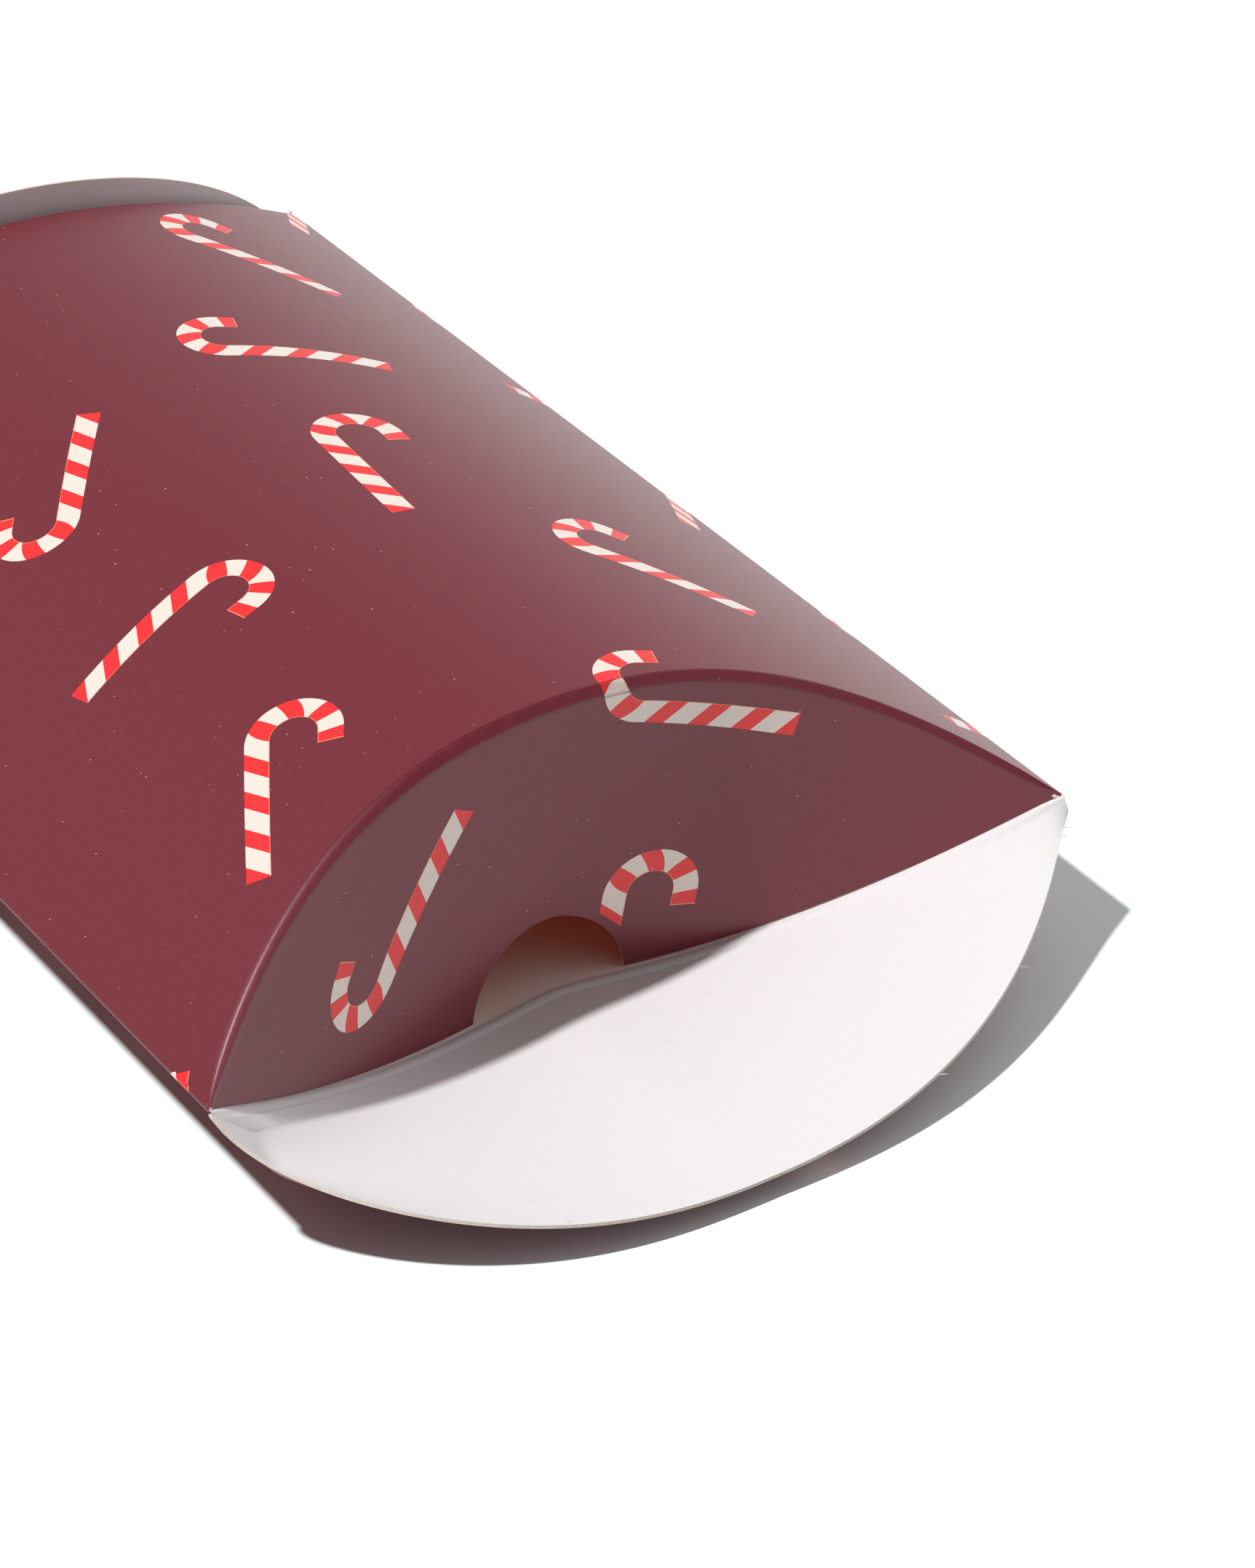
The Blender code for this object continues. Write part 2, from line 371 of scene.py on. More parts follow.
caneTree = caneGroup()
dust = {
    "perMm": 0.78,
    "size": 0.062,
    "strength": 0.75,
    "least": 0.15,
    "finePerMm": 1.7,
    "fineSize": 0.1,
    "fineStrength": 0.1,
}
# Painted highlight along the left of the near fold, where its rounded edge catches the light.
foldGlintPaint = {
    "color": (0.40, 0.125, 0.165, 1),
    "most": 0.42,
    "middle": 0.5,          # on the panel's side of the fold line
    "width": 2.1,
    "core": 0.3,
    "from": -16.0,
    "full": -46.0,
    "rowsTo": 30.0,         # on the blank, from its near end
    "streaks": (0.25, 0.65, 0.45, 1.0),
}
# Painted shade along the folds: the dark score lines and the darker band between them.
score = {
    "lineAt": 0.9,          # shares of the fold's half width
    "bandTo": 0.85,
    "lineWidth": 0.10,
    "stretch": (0.6, 7.0, 1.0),
    "lineStreaks": (0.35, 0.6, 0.2, 0.6),   # noise from and to, then strength from and to
    "bandStreaks": (0.3, 0.7, 0.2, 0.5),
}
varnish = {
    "mottle": (1.6, 6.0, 0.7),              # noise: scale, detail and roughness
    "relief": (3.2, 5.0, 0.6),
    "reliefStrength": 0.35,
    "roughness": (0.33, 0.41),
    "foldRoughness": -0.08,
    "specular": 0.62,
}
bareBoard = {
    "stretch": (1.0, 0.55, 1.0),
    "grain": (1.9, 7.0, 0.65),
    "shading": (0.42, 0.75, 0.0, 0.35),
    "lineAt": 0.84,
    "lineStrength": 0.06,
    "roughness": (0.6, 0.76),
    "soak": 0.35,
    "soakRadius": (1.0, 0.32, 0.12),
    "soakDepth": 0.00028,   # metres
    # painted glow: a faint warm emission on the case's white inside
    "paintedGlow": (1.0, 0.10, 0.01, 1),
    "casePaintedGlow": 0.02,
    "hiddenGrain": 1400.0,  # per metre
}
finishes = {
    "burgundy": (0.196, 0.0225, 0.0375, 1),
    "burgundyDeep": (0.182, 0.0195, 0.034, 1),
    "red": (0.93, 0.026, 0.030, 1),
    "cream": (0.90, 0.80, 0.715, 1),
    "fringe": (0.93, 0.30, 0.13, 1),
    "boardWhite": (0.84, 0.822, 0.826, 1),
    "boardShade": (0.77, 0.738, 0.72, 1),
    "cutEdge": (0.78, 0.60, 0.45, 1),
    "dust": (0.78, 0.62, 0.58, 1),
    # painted shade along the folds
    "scoreLineShade": (0.035, 0.006, 0.010, 1),
    "foldBandShade": (0.10, 0.010, 0.022, 1),
    "scoreShade": (0.28, 0.22, 0.20, 1),
    "fibre": (0.86, 0.84, 0.82, 1),
    "fibreShade": (0.78, 0.74, 0.70, 1),
    "glue": (0.72, 0.66, 0.50, 1),
    "glueShade": (0.60, 0.52, 0.36, 1),
    # The case's inside is the flaps' white board tinted warmer: painted warm light from inside the box.
    "paintedWarmCaseWhite": (0.885, 0.825, 0.785, 1),
    "paintedWarmCaseShade": (0.82, 0.74, 0.67, 1),
}


def startMaterial(name):
    material = bpy.data.materials.new(name)
    material.use_nodes = True
    return material, material.node_tree, material.node_tree.nodes["Principled BSDF"]


def bumpFrom(tree, height, distance, strength, shader):
    inputs = {"Distance": distance, "Strength": strength, "Height": height}
    feed(tree, make(tree, "ShaderNodeBump", inputs)["Normal"], shader.inputs["Normal"])


def printedBoard():
    # Takes the blank and crease attributes, in millimetres on the flat sheet.
    material, tree, shader = startMaterial("printedBoard")
    blank = attributeOf(tree, "blank", "Vector")
    crease = attributeOf(tree, "crease", "Fac")
    canes = make(tree, "ShaderNodeGroup", {"Blank": blank}, node_tree=caneTree)
    mottle = ramp(tree, noiseOf(tree, blank, *varnish["mottle"]), 0.3, 0.7)
    ground = mixColor(tree, mottle, finishes["burgundy"], finishes["burgundyDeep"])
    cane = mixColor(tree, canes["Red"], finishes["cream"], finishes["red"])
    cane = mixColor(tree, canes["Rim"], cane, finishes["fringe"])
    color = mixColor(tree, canes["Cane"], ground, cane)
    # Pale dust: one tiny speck in each small cell, of differing size and strength.
    cells = cellsOf(tree, blank, dust["perMm"])
    tone = splitXyz(tree, cells["Color"])[0]
    speck = under(tree, cells["Distance"], times(tree, tone, dust["size"]))
    tone = times(tree, tone, tone)
    speck = times(tree, speck, timesPlus(tree, tone, dust["strength"], dust["least"]))
    fine = cellsOf(tree, blank, dust["finePerMm"])
    grain = times(tree, under(tree, fine["Distance"], dust["fineSize"]), dust["fineStrength"])
    color = mixColor(tree, larger(tree, speck, grain), color, finishes["dust"])
    # The score: thin dark lines where the rounded fold starts and ends, painted shade of the fold's edges,
    # streaked at random.
    away = calc(tree, "ABSOLUTE", crease)
    line = calc(tree, "COMPARE", away, creases["foldInset"] * score["lineAt"], score["lineWidth"])
    streak = noiseOf(tree, vectorCalc(tree, "MULTIPLY", blank, score["stretch"]), 1.0, 4.0)
    line = times(tree, line, ramp(tree, streak, *score["lineStreaks"]))
    color = mixColor(tree, line, color, finishes["scoreLineShade"])
    # Painted shade: the fold's flat band is painted darker, at a strength that varies at random along it.
    band = under(tree, away, creases["foldInset"] * score["bandTo"])
    worn = times(tree, band, ramp(tree, streak, *score["bandStreaks"]))
    color = mixColor(tree, worn, color, finishes["foldBandShade"])
    # Painted highlight: the near fold is painted paler on the left, more so towards the corner, for the
    # glint on its rounded upper edge.
    across, row = splitXyz(tree, blank)[:2]
    middle = calc(tree, "ABSOLUTE", plus(tree, crease, foldGlintPaint["middle"]))
    glintPaint = ramp(tree, middle, foldGlintPaint["width"], foldGlintPaint["core"])
    for limit in (ramp(tree, across, foldGlintPaint["from"], foldGlintPaint["full"]),
                  under(tree, row, foldGlintPaint["rowsTo"]),
                  calc(tree, "GREATER_THAN", across, -topHalfRun),
                  ramp(tree, streak, *foldGlintPaint["streaks"]), foldGlintPaint["most"]):
        glintPaint = times(tree, glintPaint, limit)
    color = mixColor(tree, glintPaint, color, foldGlintPaint["color"])
    rough = ramp(tree, noiseOf(tree, blank, 2.2, 4.0), 0.3, 0.7, *varnish["roughness"])
    folded = under(tree, away, creases["foldInset"])
    rough = timesPlus(tree, folded, varnish["foldRoughness"], rough)
    setInputs(tree, shader, {"Base Color": color, "Roughness": rough,
                             "Specular IOR Level": varnish["specular"]})
    bumpFrom(tree, noiseOf(tree, blank, *varnish["relief"]), 0.00001, varnish["reliefStrength"], shader)
    return material


def whiteInside(name, light, shade, paintedGlow):
    material, tree, shader = startMaterial(name)
    blank = attributeOf(tree, "blank", "Vector")
    crease = attributeOf(tree, "crease", "Fac")
    grain = vectorCalc(tree, "MULTIPLY", blank, bareBoard["stretch"])
    fibre = noiseOf(tree, grain, *bareBoard["grain"])
    color = mixColor(tree, ramp(tree, fibre, *bareBoard["shading"]), light, shade)
    away = calc(tree, "ABSOLUTE", crease)
    line = calc(tree, "COMPARE", away, creases["scoreInset"] * bareBoard["lineAt"], score["lineWidth"])
    color = mixColor(tree, times(tree, line, bareBoard["lineStrength"]), color, finishes["scoreShade"])
    # A little light soaks through the board, and red goes furthest. The emission is a painted glow, warm
    # light put on the board in place of light bounced inside the box.
    setInputs(tree, shader, {
        "Base Color": color,
        "Roughness": ramp(tree, fibre, 0.3, 0.7, *bareBoard["roughness"]),
        "Subsurface Weight": bareBoard["soak"],
        "Subsurface Radius": bareBoard["soakRadius"],
        "Subsurface Scale": bareBoard["soakDepth"],
        "Emission Color": bareBoard["paintedGlow"],
        "Emission Strength": paintedGlow,
    })
    bumpFrom(tree, fibre, 0.00002, 0.4, shader)
    return material


def cutBoardEdge():
    material, tree, shader = startMaterial("cutBoardEdge")
    blank = attributeOf(tree, "blank", "Vector")
    layers = noiseOf(tree, blank, 5.0, 6.0, 0.7)
    color = mixColor(tree, ramp(tree, layers, 0.35, 0.65), finishes["cutEdge"], finishes["boardWhite"])
    rough = ramp(tree, layers, 0.3, 0.7, 0.7, 0.85)
    setInputs(tree, shader, {"Base Color": color, "Roughness": rough})
    bumpFrom(tree, layers, 0.00003, 0.6, shader)
    return material


def hiddenBoard(name, light, dark, roughness):
    # For the glue tab, the glue line and the loose fibres, in object coordinates.
    material, tree, shader = startMaterial(name)
    place = make(tree, "ShaderNodeTexCoord")["Object"]
    fibre = noiseOf(tree, place, bareBoard["hiddenGrain"], 6.0, 0.65)
    color = mixColor(tree, ramp(tree, fibre, 0.35, 0.7), light, dark)
    rough = ramp(tree, fibre, 0.3, 0.7, roughness - 0.08, roughness + 0.08)
    setInputs(tree, shader, {"Base Color": color, "Roughness": rough})
    bumpFrom(tree, fibre, 0.00002, 0.4, shader)
    return material


flapInside = whiteInside("whiteInside", finishes["boardWhite"], finishes["boardShade"], 0.0)
boardFinishes = [printedBoard(), flapInside, cutBoardEdge()]
# The case's inside carries painted light: a warmer tint and a faint warm glow.
warmPaintedCaseInside = whiteInside("warmPaintedCaseInside", finishes["paintedWarmCaseWhite"], finishes["paintedWarmCaseShade"], bareBoard["casePaintedGlow"])
caseFinishes = [boardFinishes[0], warmPaintedCaseInside, boardFinishes[2]]
tabFinish = hiddenBoard("glueTabBoard", finishes["boardWhite"], finishes["boardShade"], 0.66)
fibreFinish = hiddenBoard("paperFibre", finishes["fibre"], finishes["fibreShade"], 0.75)
glueFinish = hiddenBoard("driedGlue", finishes["glue"], finishes["glueShade"], 0.34)
print("materials ready")


# Board pieces.
def freshObject(name, data):
    obj = bpy.data.objects.new(name, data)
    bpy.context.scene.collection.objects.link(obj)
    return obj


def bake(obj):
    # Turns the object's modifiers into a plain mesh.
    graph = bpy.context.evaluated_depsgraph_get()
    mesh = bpy.data.meshes.new_from_object(obj.evaluated_get(graph), depsgraph=graph)
    obj.modifiers.clear()
    old = obj.data
    obj.data = mesh
    bpy.data.meshes.remove(old)
    return obj


def thicken(obj, materials):
    # The outer, printed face is given; the board grows inwards with a white inside and a cut edge.
    for material in materials:
        if material.name not in obj.data.materials:
            obj.data.materials.append(material)
    board = obj.modifiers.new("board", "SOLIDIFY")
    board.thickness = box["board"] * mm
    board.offset = -1.0
    board.use_even_offset = True
    board.material_offset = 1
    board.material_offset_rim = 2
    bake(obj)
    obj.data.shade_smooth()
    obj.data.set_sharp_from_angle(angle=math.radians(box["sharpFrom"]))


def setPoints(mesh, name, kind, values):
    attribute = mesh.attributes.get(name) or mesh.attributes.new(name, kind, "POINT")
    field = "vector" if kind == "FLOAT_VECTOR" else "value"
    attribute.data.foreach_set(field, np.asarray(values, np.float32).ravel())


def startTree(name, inputs):
    tree = bpy.data.node_groups.new(name, "GeometryNodeTree")
    for title, kind in inputs:
        tree.interface.new_socket(title, in_out="INPUT", socket_type="NodeSocket" + kind)
    tree.interface.new_socket("Geometry", in_out="OUTPUT", socket_type="NodeSocketGeometry")
    return tree, {socket.name: socket for socket in make(tree, "NodeGroupInput")}


def endTree(tree, geometry, material):
    single = make(tree, "GeometryNodeRealizeInstances", {0: geometry})[0]
    painted = make(tree, "GeometryNodeSetMaterial", {"Geometry": single, "Material": material})
    make(tree, "NodeGroupOutput", {0: painted[0]})
    return tree


panelTreeInputs = ["Left", "Right", "Half Width", "Half Length", "Flat Strip", "Middle Height", "Bow",
                   "Fullness", "Near Depth", "Far Depth", "Crease Fullness", "Fold Inset", "Fold Reach"]


def panelTree():
    # A sheet bowed across its width, with both ends cut along curved creases.
    kinds = [("Columns", "Int"), ("Rows", "Int"), ("Faces Down", "Bool"), ("Material", "Material")]
    tree, get = startTree("bowedPanel", kinds + [(name, "Float") for name in panelTreeInputs])
    grid = make(tree, "GeometryNodeMeshGrid", {
        "Size X": 2.0, "Size Y": 2.0, "Vertices X": get["Columns"], "Vertices Y": get["Rows"]})["Mesh"]
    u, v = splitXyz(tree, make(tree, "GeometryNodeInputPosition")[0])[:2]
    shareX = timesPlus(tree, u, 0.5, 0.5)
    shareY = timesPlus(tree, v, 0.5, 0.5)
    x = timesPlus(tree, shareX, minus(tree, get["Right"], get["Left"]), get["Left"])
    out = calc(tree, "DIVIDE", calc(tree, "ABSOLUTE", x), get["Half Width"])
    flat = times(tree, get["Flat Strip"], 0.5)
    beyond = larger(tree, minus(tree, calc(tree, "ABSOLUTE", x), flat), 0.0)
    beyond = calc(tree, "DIVIDE", beyond, minus(tree, get["Half Width"], flat))
    rise = calc(tree, "POWER", beyond, get["Fullness"])
    z = timesPlus(tree, rise, get["Bow"], get["Middle Height"])
    reach = calc(tree, "POWER", calc(tree, "DIVIDE", out, get["Fold Reach"]), creases["foldTaper"])
    inset = times(tree, get["Fold Inset"], larger(tree, minus(tree, 1.0, reach), 0.0))
    curve = minus(tree, 1.0, calc(tree, "POWER", out, get["Crease Fullness"]))
    ends = []
    for depth in ("Near Depth", "Far Depth"):
        line = minus(tree, get["Half Length"], times(tree, get[depth], curve))
        ends.append(minus(tree, line, inset))
    y = minus(tree, times(tree, shareY, plus(tree, ends[0], ends[1])), ends[0])
    place = joinXyz(tree, x, y, z)
    bowed = make(tree, "GeometryNodeSetPosition", {"Geometry": grid, "Position": place})[0]
    faced = make(tree, "GeometryNodeFlipFaces", {"Mesh": bowed, "Selection": get["Faces Down"]})[0]
    return endTree(tree, faced, get["Material"])


def grow(name, tree, values, mesh=None):
    # Runs a Geometry Nodes tree on an object and keeps the result as a plain mesh.
    obj = freshObject(name, mesh or bpy.data.meshes.new(name))
    modifier = obj.modifiers.new("grow", "NODES")
    modifier.node_group = tree
    for item in tree.interface.items_tree:
        if item.item_type == "SOCKET" and item.in_out == "INPUT" and item.name in values:
            modifier[item.identifier] = values[item.name]
    return bake(obj)


bowedPanel = panelTree()
panels = {
    "columns": 121,
    "rows": 40,
    "sideInset": 0.5,       # where the side crease starts to round
    "seamEdge": 49.8,       # the top panel's cut edge over the glued seam
    "seamInset": 0.75,      # where the seam side's fold takes over from the bottom panel
}
leftEdge = panels["sideInset"] - half
seamSide = half - panels["seamInset"]


def panel(name, left, right, across, settings):
    values = {
        "Columns": panels["columns"],
        "Rows": panels["rows"],
        "Left": left * mm,
        "Right": right * mm,
        "Half Width": half * mm,
        "Half Length": halfLength * mm,
        "Material": boardFinishes[0],
    }
    values.update(settings)
    obj = grow(name, bowedPanel, values)
    points = np.array([v.co for v in obj.data.vertices]) / mm
    setPoints(obj.data, "blank", "FLOAT_VECTOR",
              np.stack([across(points[:, 0]), points[:, 1] + halfLength, np.zeros(len(points))], 1))
    setPoints(obj.data, "crease", "FLOAT", np.full(len(points), farFromFold))
    thicken(obj, caseFinishes)
    for face in obj.data.polygons:
        if face.material_index == 2 and abs(face.normal.y) > 0.5:
            face.material_index = 0
    return obj


topSkin = panel("topPanelSkin", leftEdge, panels["seamEdge"], topAcross, {
    "Flat Strip": 0.0,
    "Middle Height": (box["bottomBow"] + box["topBow"]) * mm,
    "Bow": -box["topBow"] * mm,
    "Fullness": box["topFullness"],
    "Near Depth": creases["nearTopDepth"] * mm,
    "Far Depth": creases["farTopDepth"] * mm,
    "Crease Fullness": creases["topFullness"],
    "Fold Inset": creases["foldInset"] * mm,
    "Fold Reach": creases["innerReach"],
    "Faces Down": False,
})
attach(topSkin, "case")
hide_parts("top_panel")

bottomSkin = panel("bottomPanelSkin", leftEdge, seamSide, bottomAcross, {
    "Flat Strip": box["restWidth"] * mm,
    "Middle Height": 0.0,
    "Bow": box["bottomBow"] * mm,
    "Fullness": box["bottomFullness"],
    "Near Depth": creases["bottomDepth"] * mm,
    "Far Depth": creases["bottomDepth"] * mm,
    "Crease Fullness": creases["bottomFullness"],
    "Fold Inset": creases["scoreInset"] * mm,
    "Fold Reach": creases["outerReach"],
    "Faces Down": True,
})
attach(bottomSkin, "case")
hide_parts("bottom_panel")
print("panels built")


def readPoints(mesh, name):
    values = np.zeros(len(mesh.vertices), np.float32)
    mesh.attributes[name].data.foreach_get("value", values)
    return values


def gridObject(name, rows):
    # rows: lists of (x, y, z, across, along, crease, turn), in mm but for the turn, a share of 1.
    mesh = bpy.data.meshes.new(name)
    count = len(rows[0])
    points = [p for row in rows for p in row]
    corners = [r * count + c for r in range(len(rows) - 1) for c in range(count - 1)]
    faces = [(a, a + 1, a + count + 1, a + count) for a in corners]
    mesh.from_pydata([[q * mm for q in p[:3]] for p in points], [], faces)
    setPoints(mesh, "blank", "FLOAT_VECTOR", [(p[3], p[4], 0.0) for p in points])
    setPoints(mesh, "crease", "FLOAT", [p[5] for p in points])
    setPoints(mesh, "turn", "FLOAT", [p[6] for p in points])
    return freshObject(name, mesh)


def outwards(obj, direction):
    # Turns all faces if the middle one looks the wrong way.
    middle = obj.data.polygons[len(obj.data.polygons) // 2]
    if middle.normal.dot(Vector(direction)) < 0:
        obj.data.flip_normals()


sideFold = {
    "radiusSteps": 8,
    "rows": 40,
    "seamTurn": 1.6,        # how far the glued side turns in under the top panel
    "seamApex": (0.32, 0.21),
    "seamGap": 0.03,
    "seamSteps": 4,
    "endFullness": 2.0,
    "seamPull": 1.8,        # the turned-in part ends this far inside the creases
}


def sideStrip(name, right):
    # The rounded side fold between the two panels; on the right it turns in under the top panel.
    rows = []
    if right:
        start = (seamSide, bottomZ(seamSide))
        cover = box["board"] + sideFold["seamGap"]
        steps = sideFold["seamSteps"]
        turnedIn = [seamSide - sideFold["seamTurn"] * i / steps for i in range(1, steps + 1)]
        inner = [(x, topZ(x) - cover * slant(topZ, x)) for x in turnedIn]
        apex = (half - sideFold["seamApex"][0], box["bottomBow"] - sideFold["seamApex"][1])
    else:
        start = (leftEdge, bottomZ(leftEdge))
        apex = (-half, box["bottomBow"])
        inner = [(leftEdge, topZ(leftEdge))]
    steps = sideFold["radiusSteps"]
    profile = []
    for i in range(steps + 1):
        t = i / steps
        profile.append(tuple((1 - t) ** 2 * a + 2 * t * (1 - t) * b + t * t * c
                             for a, b, c in zip(start, apex, inner[0])))
    profile += inner[1:]
    run = 0.0
    for i, (x, z) in enumerate(profile):
        if i:
            run += math.dist(profile[i - 1], (x, z))
        share = i / (len(profile) - 1)
        nearDepth, farDepth = (creases[key] * share + creases["bottomDepth"] * (1 - share)
                               for key in ("nearTopDepth", "farTopDepth"))
        near = -creaseAt(x, nearDepth, sideFold["endFullness"])
        far = creaseAt(x, farDepth, sideFold["endFullness"])
        if right and i >= steps:
            near += sideFold["seamPull"]
            far -= sideFold["seamPull"]
        across = float(bottomAcross(start[0])) + (run if not right else -run)
        count = sideFold["rows"]
        ys = [near + (far - near) * k / count for k in range(count + 1)]
        rows.append([(x, y, z, across, y + halfLength, farFromFold, 0.0) for y in ys])
    obj = gridObject(name, rows)
    outwards(obj, (1 if right else -1, 0, 0))
    thicken(obj, caseFinishes)
    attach(obj, "case")


sideStrip("leftSideFold", False)
sideStrip("seamSideFold", True)
print("side folds built")

flaps = {
    "columns": 121,
    "foldSteps": 16,
    "rows": 18,
    "innerHalfWidth": 49.6,
    "footClearance": 0.54,  # the inner flap's foot stands on the bottom panel's inside
    "footSetback": 1.5,     # and this far behind the bottom crease
    "footFullness": 1.3,
    "notchRadius": 9.3,
    "notchX": -1.5,
    "notchZ": 0.05,
    "notchSteps": 48,
    "notchMargin": 0.3,
    "innerFoldShare": 0.5,  # a fold takes up at most this share of its flap
    "outerFoldShare": 0.45,
    "driftDepth": 36.0,
    "driftReach": (-0.45, 0.55),
    "driftAcross": (0.26, -2.89, -0.43, 3.69, 2.02, 3.73),
    "driftAlong": (1.32, -2.32, -3.94, 3.04, 1.31, -5.35),
    "openReach": 22.4,
    "insideDepth": 0.2,     # how far the white inside is kept behind the printed side
    "insideMost": 2.5,      # degrees by which it may turn less or more for that
    "openSkew": -1.1,       # the open flap's outer edge sits this far to one side
    "skewFullness": 5.0,
    "leftReach": 0.6,
    "leftDrop": 0.45,
    "leftHollow": 2.6,      # how deep the left half sags between its crease and its edge
    "hollowLength": 9.0,    # shorter strips of the flap sag less
    "openFullness": 2.5,
    "openTipLift": 2.3,
    "openShoulderRise": (8.4, 1.6),     # height, and how late it comes
    "openEarRise": (3.9, 10),
    "leftEarRise": (1.4, 40),           # the very end of the left ear rises to the side crease
    "outerShare": 0.997,
    "closedTipRise": 2.6,
    "closedTipLean": 1.5,
    "closedRiseWidth": 78.0,
    "closedFullness": 3.5,
    "closedFootGap": 0.3,
    "closedMost": 0.3,      # how far a closed flap may stand out beyond the side creases
    "closedLeast": 0.3,     # and its edge is at least this far above the bottom panel
    "leastLength": 0.05,
    "rimFrom": 48.2,        # beyond this the flaps' ends turn in under the side creases
    "near_inner": 93.0,     # each flap's travel in degrees
    "near_outer": 81.0,
    "far_inner": 90.0,
    "far_outer": 86.0,
}


def foldMark(d, inset):
    return min(farFromFold, d) if inset > creases["leastFold"] else farFromFold


def angleAbout(pivot, point):
    return math.degrees(math.atan2(point[1] - pivot[1], point[0] - pivot[0]))


def turnTo(pivot, start, goal):
    return (angleAbout(pivot, goal) - angleAbout(pivot, start) + 180) % 360 - 180


def smooth(t):
    t = min(1.0, max(0.0, t))
    return t * t * (3 - 2 * t)


def straight(start, goal):
    length = max(flaps["leastLength"], math.dist(start, goal))
    return length, ((goal[0] - start[0]) / length, (goal[1] - start[1]) / length)


def ahead(corner, heading, d):
    return [corner[0] + heading[0] * d, corner[1] + heading[1] * d]


def foldArc(corner, heading, upwards, inset, steps, first):
    # The corner between the panel, which runs outwards, and the flap with its heading becomes a narrow
    # flat band between two rounded edges. Gives its points and its length.
    turn = math.acos(max(-1.0, min(1.0, heading[0])))
    if inset < creases["flatFold"][0] or turn < creases["flatFold"][1]:
        points = []
        for i in range(steps + 1):
            d = inset * (2 * i / steps - 1)
            points.append(ahead(corner, (1.0, 0.0) if d < 0 else heading, d))
        return points, 2 * inset
    last = creases["foldEdge"]
    out = [0.0]
    down = [0.0]
    for i in range(steps):
        t = (i + 0.5) / steps
        a = turn * (smooth(t / first) + smooth((t - 1 + last) / last)) / 2
        out.append(out[-1] + math.cos(a))
        down.append(down[-1] + math.sin(a))
    size = 2 * inset * math.cos(turn / 2) / math.hypot(out[-1], down[-1])
    sign = 1 if upwards else -1
    points = [(corner[0] - inset + a * size, corner[1] + sign * b * size) for a, b in zip(out, down)]
    return points, steps * size


def notchColumns():
    # Even steps across, with closer ones at the steep sides of the thumb notch.
    wide = np.linspace(-flaps["innerHalfWidth"], flaps["innerHalfWidth"], flaps["columns"])
    left = flaps["notchX"] - flaps["notchRadius"]
    right = flaps["notchX"] + flaps["notchRadius"]
    steps = flaps["notchSteps"]
    margin = flaps["notchMargin"]
    arc = [flaps["notchX"] - flaps["notchRadius"] * math.cos(math.pi * i / steps) for i in range(steps + 1)]
    kept = [x for x in wide if x < left - margin or x > right + margin]
    return sorted(kept + arc)


def printDrift(x, d):
    # The near flap's print sits a little off the even repeat, more towards its free edge.
    u = float(np.clip(x / half, *flaps["driftReach"]))
    v = d / flaps["driftDepth"]
    terms = (1.0, u, v, u * v, v * v, u * u)
    return [sum(a * b for a, b in zip(terms, flaps[name])) for name in ("driftAcross", "driftAlong")]


def innerFlap(name, body, end):
    columns = []
    pivot = (topCrease(end, 0.0), topZ(0.0))
    for x in notchColumns():
        corner = (topCrease(end, x), topZ(x))
        setback = flaps["footSetback"] * (1 - abs(x / half) ** flaps["footFullness"])
        base = (bottomCrease(x) - setback, bottomZ(x))
        length, heading = straight(corner, base)
        height = corner[1] - base[1]
        foot = flaps["footClearance"] * slant(bottomZ, x)
        reach = max(flaps["leastLength"], 1 - foot / height) * length
        off = x - flaps["notchX"]
        if abs(off) < flaps["notchRadius"]:
            rim = flaps["notchZ"] + math.sqrt(flaps["notchRadius"] ** 2 - off ** 2)
            reach = min(reach, (corner[1] - rim) / height * length)
        inset = min(creases["foldInset"] * taper(x, creases["innerReach"]), reach * flaps["innerFoldShare"])
        steps = flaps["foldSteps"]
        wear = smooth((-x - creases["wornFrom"]) / creases["wornOver"]) * (end < 0)
        worn = creases["foldEdge"] + creases["leftFoldEdge"] * wear
        arc, run = foldArc(corner, heading, False, inset, steps, worn)
        column = []
        for i, (w, z) in enumerate(arc):
            column.append([w, z, inset * (2 * i / steps - 1), run * i / steps - inset])
        for i in range(1, flaps["rows"] + 1):
            d = inset + (reach - inset) * i / flaps["rows"]
            column.append([*ahead(corner, heading, d), d, run + d - 2 * inset])
        turns = []
        for w, z, d, printed in column:
            turns.append(turnTo(pivot, (w, z), (corner[0] + d, corner[1])) / flaps[body])
        for i in range(steps + 1):
            turns[i] = min(max(0.0, turns[i]), max(0.0, turns[steps + 1]))
        across = float(topAcross(x))
        start = halfLength + end * corner[0]
        rows = []
        for i, ((w, z, d, printed), turn) in enumerate(zip(column, turns)):
            share = smooth(i / steps) if end < 0 else 0.0
            drift = [share * q for q in printDrift(x, d)]
            rows.append((x, end * w, z, across + drift[0], start + end * printed + drift[1],
                         foldMark(d, inset), turn))
        columns.append(rows)
    return finishFlap(name, body, columns, end)


def rising(name, out):
    height, late = flaps[name]
    return height * out ** late


def openEdge(x):
    out = abs(x) / half
    reach = flaps["openReach"] * (1 - out ** flaps["openFullness"])
    lift = flaps["openTipLift"] + rising("openShoulderRise", out) + rising("openEarRise", out)
    if x < 0:
        # The left half hangs a little lower and further out than the right half.
        sag = math.sin(math.pi * min(1.0, out))
        reach += flaps["leftReach"] * sag
        lift += rising("leftEarRise", out) - flaps["leftDrop"] * sag
    return halfLength + reach, lift


def skewAt(x):
    return flaps["openSkew"] * (1 - abs(x / half) ** flaps["skewFullness"])


def outerPivot(restsOpen):
    return bottomCrease(0.0) + (0.0 if restsOpen else flaps["closedFootGap"]), 0.0


